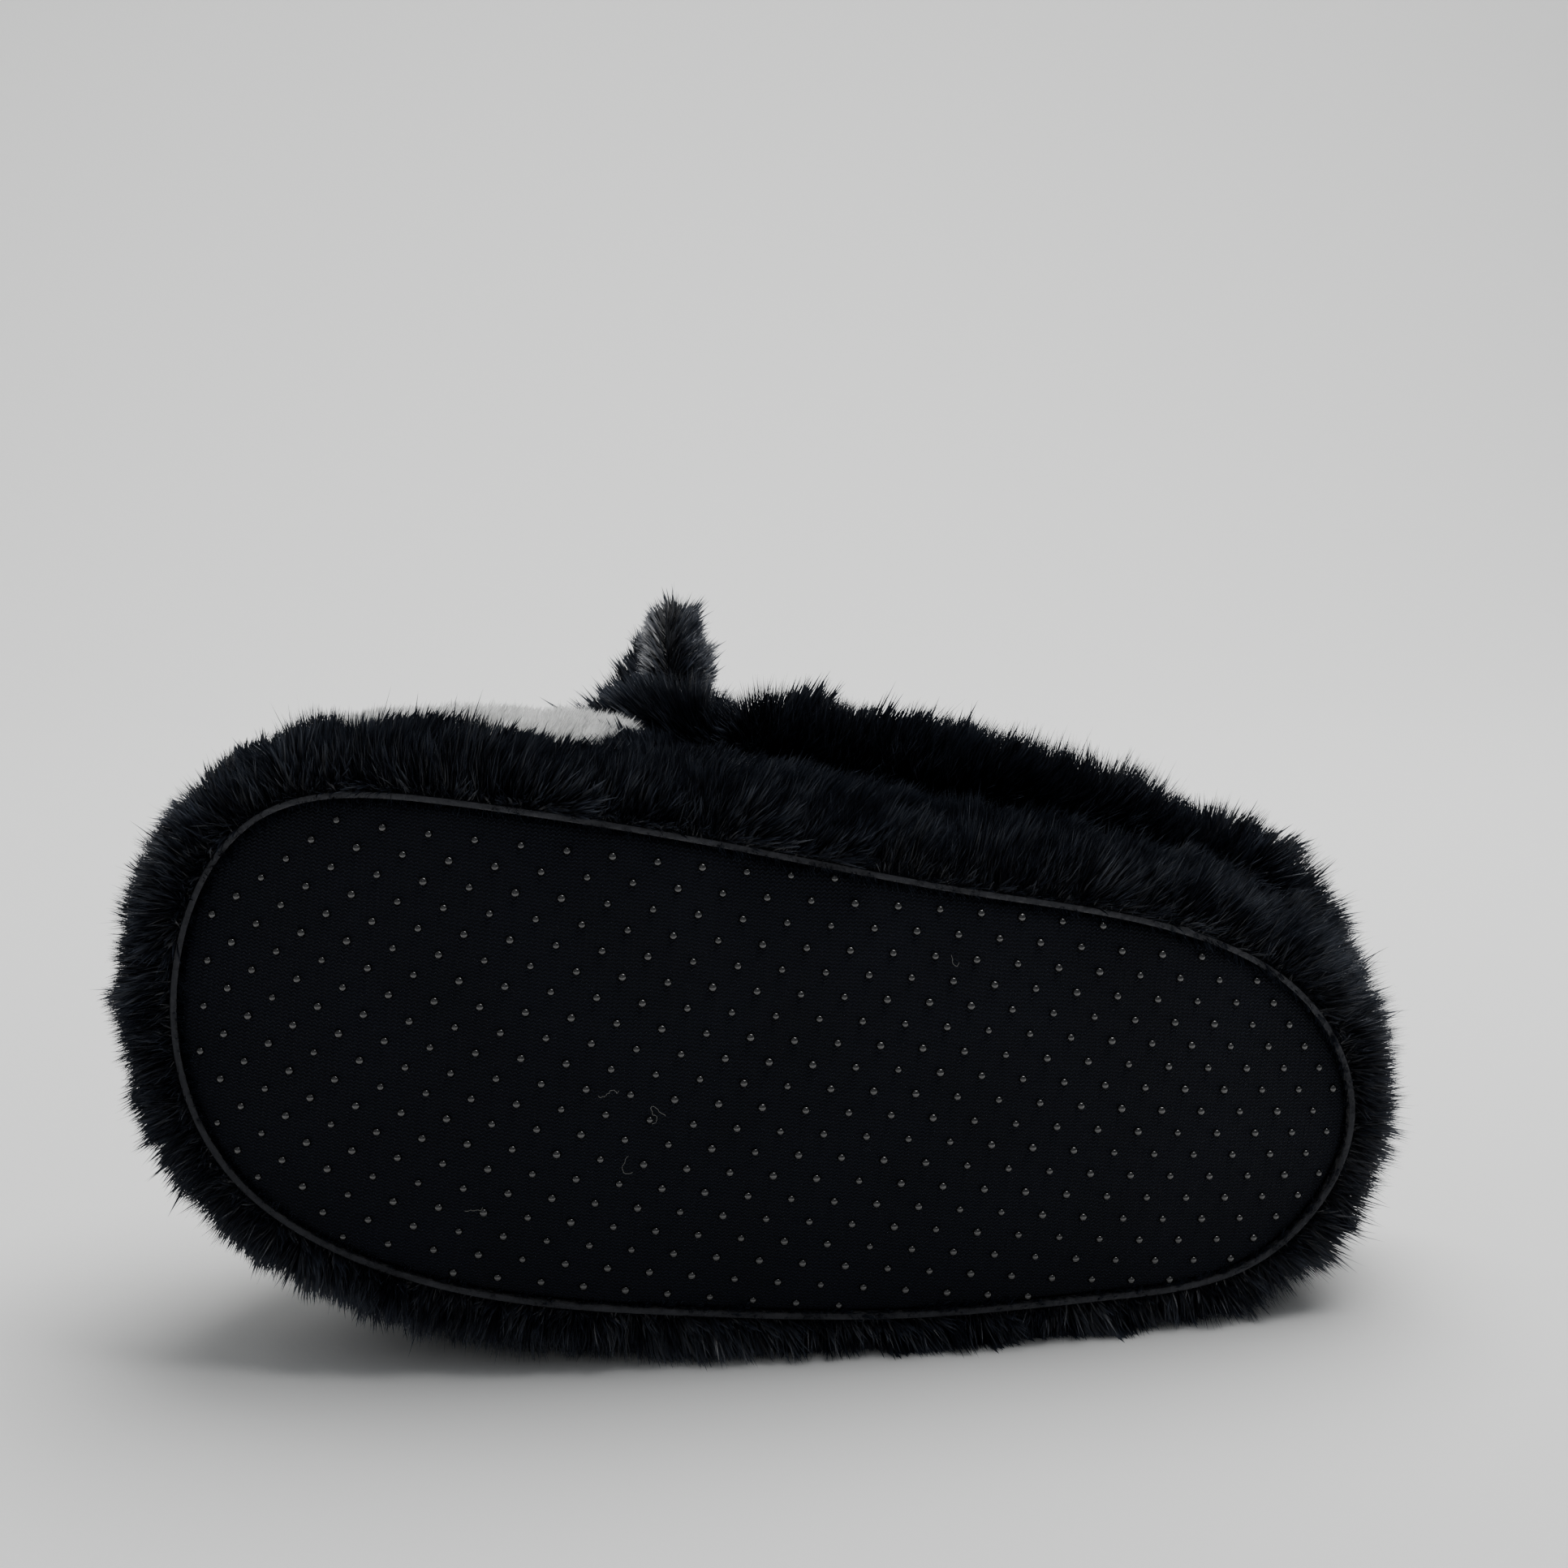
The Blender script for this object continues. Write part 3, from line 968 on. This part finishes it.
def oval(place, up, width, length, tilt, profile, below, height, count=48):
    """An oval raised on the face: rings of (share of its size, share of its height)."""
    here = lining(np.array([place]), np.array([[up]]))[0, 0]
    reach_around = np.linalg.norm(lining(np.array([place + 1e-4]), np.array([[up]]))[0, 0] - here) / 1e-4
    reach_up = np.linalg.norm(lining(np.array([place]), np.array([[up + 1e-4]]))[0, 0] - here) / 1e-4
    turns = np.linspace(0, 2 * np.pi, count, endpoint=False)
    rings = []
    for share, lift in profile:
        a = share * width / 2 * np.cos(turns)
        b = share * length / 2 * np.sin(turns)
        a, b = a * np.cos(tilt) - b * np.sin(tilt), a * np.sin(tilt) + b * np.cos(tilt)
        rings.append(shell(place + a / reach_around, (up + b / reach_up)[:, None], below + height * lift)[:, 0])
    return np.stack(rings, 1)


def closed_piece(name, points, material):
    mesh = grid_mesh(name, points, True)
    close_ends(mesh)
    mesh.materials.append(material)
    return lay_down(link(name, mesh))


def dome(count, flat):
    """A dome's rings from its base to its top, flattened by the power flat."""
    lifts = np.linspace(0, 1, count)
    return [(0.05, 0.0), (0.6, 0.0), (0.97, 0.0)] + [
        (max(float(np.sqrt(1 - lift**flat)), 0.04), float(lift)) for lift in lifts]


FACE_OUT = CLOTH + CLEARANCE * 2 + FACE_THICKNESS
MIDDLE = (FACE_INNER + FACE_OUTER) / 2
BEAD = new_material("eye bead", (0.004, 0.004, 0.005), 0.06, Coat_Weight=0.6, Coat_Roughness=0.03)
bead_scuff = add(BEAD[1], "ShaderNodeTexNoise", {
    "Vector": add(BEAD[1], "ShaderNodeTexCoord").outputs["Object"], "Scale": 500.0, "Detail": 3.0})
BEAD[1].links.new(maths(BEAD[1], "MULTIPLY_ADD", bead_scuff.outputs[0], 0.10, 0.03), BEAD[2].inputs["Roughness"])


def make_eye(side, name):
    """A patch with its pile, and the bead on it, on one side of the face."""
    spot = MIDDLE + side * EYE_SPREAD
    patch = oval(spot, EYE_UP, PATCH_WIDTH, PATCH_LENGTH, side * PATCH_TILT, PATCH_RINGS, FACE_OUT,
                 PATCH_THICKNESS * 0.6)
    piece = closed_piece("eye_patch_" + name + "_cloth", patch, BLACK_BACK)
    away = oval(spot, EYE_UP, 0.0, 0.0, 0.0, [(1.0, 0.0)] * 5, 0.0, 0.0)[:, :4].reshape(-1, 3)
    emitter = cloth("patch_cloth", patch[:, 3:], True, away, 1.0, 1.0, (0.2, 0.0, -0.5))
    fur = grow_pile("eye_patch_" + name + "_pile", emitter, BLACK_PILE, 50 + side, Density=9e6, Length=0.0036,
                    Width=0.00027, Lean=0.8, Swirl=0.4, Swirl_Size=0.01, Lock_Size=0.0024, Gather=0.4)
    for part in (piece, fur):
        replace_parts(part, "eye_patch_" + name)
    bead = oval(spot - side * BEAD_SHIFT, BEAD_UP, 2 * EYE_RADIUS, 2 * EYE_RADIUS, 0.0, dome(14, 2.2),
                FACE_OUT + PATCH_THICKNESS + CLEARANCE, EYE_HEIGHT)
    bead = closed_piece("eye_bead_" + name, bead, BEAD[0])
    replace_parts(bead, "eye_" + name)


make_eye(1, "outer")
make_eye(-1, "inner")
nose_rings = oval(MIDDLE, NOSE_UP, NOSE_WIDTH, NOSE_LENGTH, 0.0, dome(12, 2.4), FACE_OUT, NOSE_HEIGHT - 0.001)
nose = closed_piece("nose_pad", nose_rings, BLACK_BACK)
away = oval(MIDDLE, NOSE_UP, 0.0, 0.0, 0.0, [(1.0, 0.0)] * 12, 0.0, 0.0)[:, :11].reshape(-1, 3)
emitter = cloth("nose_cloth", nose_rings[:, 3:], True, away, 1.0, 1.0, (0.1, 0.0, -0.3))
nose_pile = grow_pile("nose_pile", emitter, BLACK_PILE, 55, Density=1.1e7, Length=0.0026, Width=0.00024,
                      Lean=0.6, Swirl=0.3, Swirl_Size=0.01, Lock_Size=0.0018, Gather=0.3)
for part in (nose, nose_pile):
    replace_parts(part, "nose")
bpy.data.meshes.remove(FIBRE.data)


# The seam. A narrow binding is turned under round the sole's edge, and one row of black lockstitch
# runs along it in the groove between the knit and the plush.
BINDING_RADIUS = 0.0006
BINDING_OUT = 0.0007
BINDING_UP = 0.0024
STITCH_OUT = 0.0008
STITCH_UP = 0.0019
STITCH_LENGTH = 0.0030
THREAD_WIDTH = 0.00065


def seam_binding():
    places = np.linspace(0, 1, 400, endpoint=False)
    plan, outward = seam(places, BINDING_OUT)
    centre = np.column_stack([plan, rocker(plan[:, 0]) + BINDING_UP])
    side = np.column_stack([outward, np.zeros(400)])
    turns = np.linspace(0, 2 * np.pi, 8, endpoint=False)
    ring = centre[:, None, :] + BINDING_RADIUS * (
        np.cos(turns)[None, :, None] * side[:, None, :] + np.sin(turns)[None, :, None] * np.array([0, 0, 1.0]))
    mesh = grid_mesh("seam_binding", ring, True, True)
    face_outwards(mesh)
    mesh.materials.append(BLACK_BACK)
    return link("seam_binding", mesh)


binding = lay_down(seam_binding())
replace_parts(binding, "outsole")


def stitch_tree():
    """Stitches of one length along a curve, each a small capsule turned with the curve."""
    tree = bpy.data.node_groups.new("lockstitch", "GeometryNodeTree")
    for name, kind in (("Geometry", "Geometry"), ("Length", "Float"), ("Thickness", "Float"),
                       ("Material", "Material")):
        tree.interface.new_socket(name=name, in_out="INPUT", socket_type="NodeSocket" + kind)
    given, result = output_of(tree)
    line = add(tree, "GeometryNodeMeshToCurve", {"Mesh": given.outputs["Geometry"]})
    points = add(tree, "GeometryNodeCurveToPoints", {
        "Curve": line.outputs[0], "Length": given.outputs["Length"]}, mode="LENGTH")
    capsule = add(tree, "GeometryNodeMeshUVSphere", {"Segments": 8, "Rings": 6, "Radius": 0.5})
    long = maths(tree, "MULTIPLY", given.outputs["Length"], 0.86)
    size = add(tree, "ShaderNodeCombineXYZ", {
        0: given.outputs["Thickness"], 1: given.outputs["Thickness"], 2: long})
    turned = add(tree, "FunctionNodeAlignRotationToVector", {"Vector": points.outputs["Tangent"]}, axis="Z")
    laid = add(tree, "GeometryNodeInstanceOnPoints", {
        "Points": points.outputs["Points"], "Instance": capsule.outputs["Mesh"],
        "Rotation": first(turned), "Scale": size.outputs[0]})
    real = add(tree, "GeometryNodeRealizeInstances", {"Geometry": laid.outputs[0]})
    smooth = add(tree, "GeometryNodeSetShadeSmooth", {"Geometry": real.outputs[0]})
    finished = add(tree, "GeometryNodeSetMaterial", {
        "Geometry": smooth.outputs[0], "Material": given.outputs["Material"]})
    tree.links.new(finished.outputs[0], result.inputs[0])
    return tree


path = bpy.data.meshes.new("stitch path")
around = np.linspace(0, 1, 600, endpoint=False)
plan = seam(around, STITCH_OUT)[0]
path.from_pydata(np.column_stack([plan, rocker(plan[:, 0]) + STITCH_UP]).tolist(),
                 [(i, (i + 1) % 600) for i in range(600)], [])
THREAD = new_material("black thread", (0.008, 0.009, 0.013), 0.5)
ply = add(THREAD[1], "ShaderNodeTexNoise", {
    "Vector": add(THREAD[1], "ShaderNodeTexCoord").outputs["Object"], "Scale": 3000.0})
THREAD[1].links.new(add(THREAD[1], "ShaderNodeBump", {"Height": ply.outputs[0], "Distance": 0.0001}).outputs[0],
                    THREAD[2].inputs["Normal"])
path_object = link("stitch_path", path)
stitches = grown("seam_stitches", path_object, stitch_tree(), {
    "Length": STITCH_LENGTH, "Thickness": THREAD_WIDTH, "Material": THREAD[0]})
bpy.data.objects.remove(path_object)
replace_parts(lay_down(stitches), "outsole")


# Lint. A few pale loose fibres have caught on the knit and on the band beside it. Each row has a
# fibre's start in the sole's plan, its length and how tightly it curls.
LINT_RADIUS = 0.00005
FIBRES = ((0.094, 0.008, 0.009, 1.5), (0.087, 0.0015, 0.006, 2.4), (0.092, 0.018, 0.006, 1.0),
          (0.152, -0.030, 0.004, 0.8), (0.060, 0.030, 0.004, 0.7))


def lint():
    pick = np.random.default_rng(5)
    bm = bmesh.new()
    for x, y, reach, curl in FIBRES:
        steps = np.linspace(0, 1, 22)
        heading = pick.uniform(0, 6.28) + curl * np.cumsum(pick.uniform(-0.6, 0.75, 22))
        walk = np.cumsum(np.stack([np.cos(heading), np.sin(heading)], -1) * reach / 22, axis=0)
        plan = np.array([x, y]) + walk
        lift = 0.0003 + 0.0004 * np.sin(steps * 9 + x * 900) ** 2
        z = rocker(plan[:, 0]) - SOLE_CROWN * (1 - (plan[:, 1] / 0.045) ** 2) - lift
        line = np.column_stack([plan, z])
        last = None
        for a in line:
            ring = [bm.verts.new(a + LINT_RADIUS * np.array([np.cos(t), np.sin(t), 0.6 * np.cos(t)]))
                    for t in (0, 2.09, 4.19)]
            if last:
                for k in range(3):
                    bm.faces.new((last[k], last[(k + 1) % 3], ring[(k + 1) % 3], ring[k]))
            else:
                bm.faces.new(ring)
            last = ring
        bm.faces.new(last)
    mesh = bpy.data.meshes.new("lint")
    bmesh.ops.recalc_face_normals(bm, faces=bm.faces)
    bm.to_mesh(mesh)
    bm.free()
    mesh.materials.append(new_material("lint", (0.16, 0.16, 0.15), 0.8)[0])
    return link("lint", mesh)


lay_down(lint())


# The studio: a pale sweep, one large soft light above and a little behind, and a weak fill.
FLOOR_FRONT = -9.0
FLOOR_BACK = 0.85
BEND_RADIUS = 0.45
WALL_TOP = 3.0
HALF_WIDTH = 9.0


def sweep():
    profile = [(FLOOR_FRONT, 0.0), (FLOOR_BACK, 0.0)]
    profile += [(FLOOR_BACK + BEND_RADIUS * np.sin(t), BEND_RADIUS - BEND_RADIUS * np.cos(t))
                for t in np.linspace(0, np.pi / 2, 24)[1:]]
    profile += [(FLOOR_BACK + BEND_RADIUS, WALL_TOP)]
    points = np.array([[(x, y, z) for y, z in profile] for x in np.linspace(-HALF_WIDTH, HALF_WIDTH, 9)])
    mesh = grid_mesh("sweep", points, False)
    mesh.shade_smooth()
    paper, tree, shader = new_material("pale paper", (0.80, 0.80, 0.79), 0.75)
    shader.inputs["Specular IOR Level"].default_value = 0.2
    grain = add(tree, "ShaderNodeTexNoise", {
        "Vector": add(tree, "ShaderNodeTexCoord").outputs["Object"], "Scale": 700.0, "Detail": 2.0})
    tree.links.new(add(tree, "ShaderNodeBump", {"Height": grain.outputs[0], "Distance": 0.00005}).outputs[0],
                   shader.inputs["Normal"])
    mesh.materials.append(paper)
    made = link("sweep", mesh)


def soft_light(name, place, aim, size, power):
    data = bpy.data.lights.new(name, "AREA")
    data.shape = "RECTANGLE"
    data.size, data.size_y = size
    data.energy = power
    made = bpy.data.objects.new(name, data)
    made.location = place
    made.rotation_euler = (Vector(place) - Vector(aim)).to_track_quat("Z", "Y").to_euler()
    bpy.context.scene.collection.objects.link(made)


sweep()
soft_light("overhead", (0.35, 0.40, 1.5), (0.05, 0.15, 0.0), (1.8, 1.3), 44.0)
soft_light("fill", (-0.6, -1.8, 0.9), (0, 0, 0.1), (1.2, 1.0), 1.0)
world = bpy.data.worlds.new("studio")
bpy.context.scene.world = world
world.use_nodes = True
world.node_tree.nodes["Background"].inputs[0].default_value = (0.93, 0.96, 1.0, 1)
world.node_tree.nodes["Background"].inputs[1].default_value = 0.28

# The camera looks at the sole from the toe side and a little above, aimed over the slipper.
AZIMUTH, ELEVATION, DISTANCE = np.radians(-9.2), np.radians(14.5), 0.6107
AIM = Vector((0.0036, -0.010, 0.0508))
PIXELS, LENS_PIXELS, BELOW = 1932.0, 3381.0, 324.0
back = Vector((np.sin(AZIMUTH) * np.cos(ELEVATION), -np.cos(AZIMUTH) * np.cos(ELEVATION), np.sin(ELEVATION)))
camera = bpy.data.cameras.new("camera")
camera.sensor_width = 36.0
camera.lens = 36.0 * LENS_PIXELS / PIXELS
camera.clip_start = 0.01
eye = bpy.data.objects.new("camera", camera)
eye.location = AIM + back * DISTANCE
tip_up = Matrix.Rotation(np.arctan(BELOW / LENS_PIXELS), 3, "X")
eye.rotation_euler = (back.to_track_quat("Z", "Y").to_matrix() @ tip_up).to_euler()
bpy.context.scene.collection.objects.link(eye)
bpy.context.scene.camera = eye
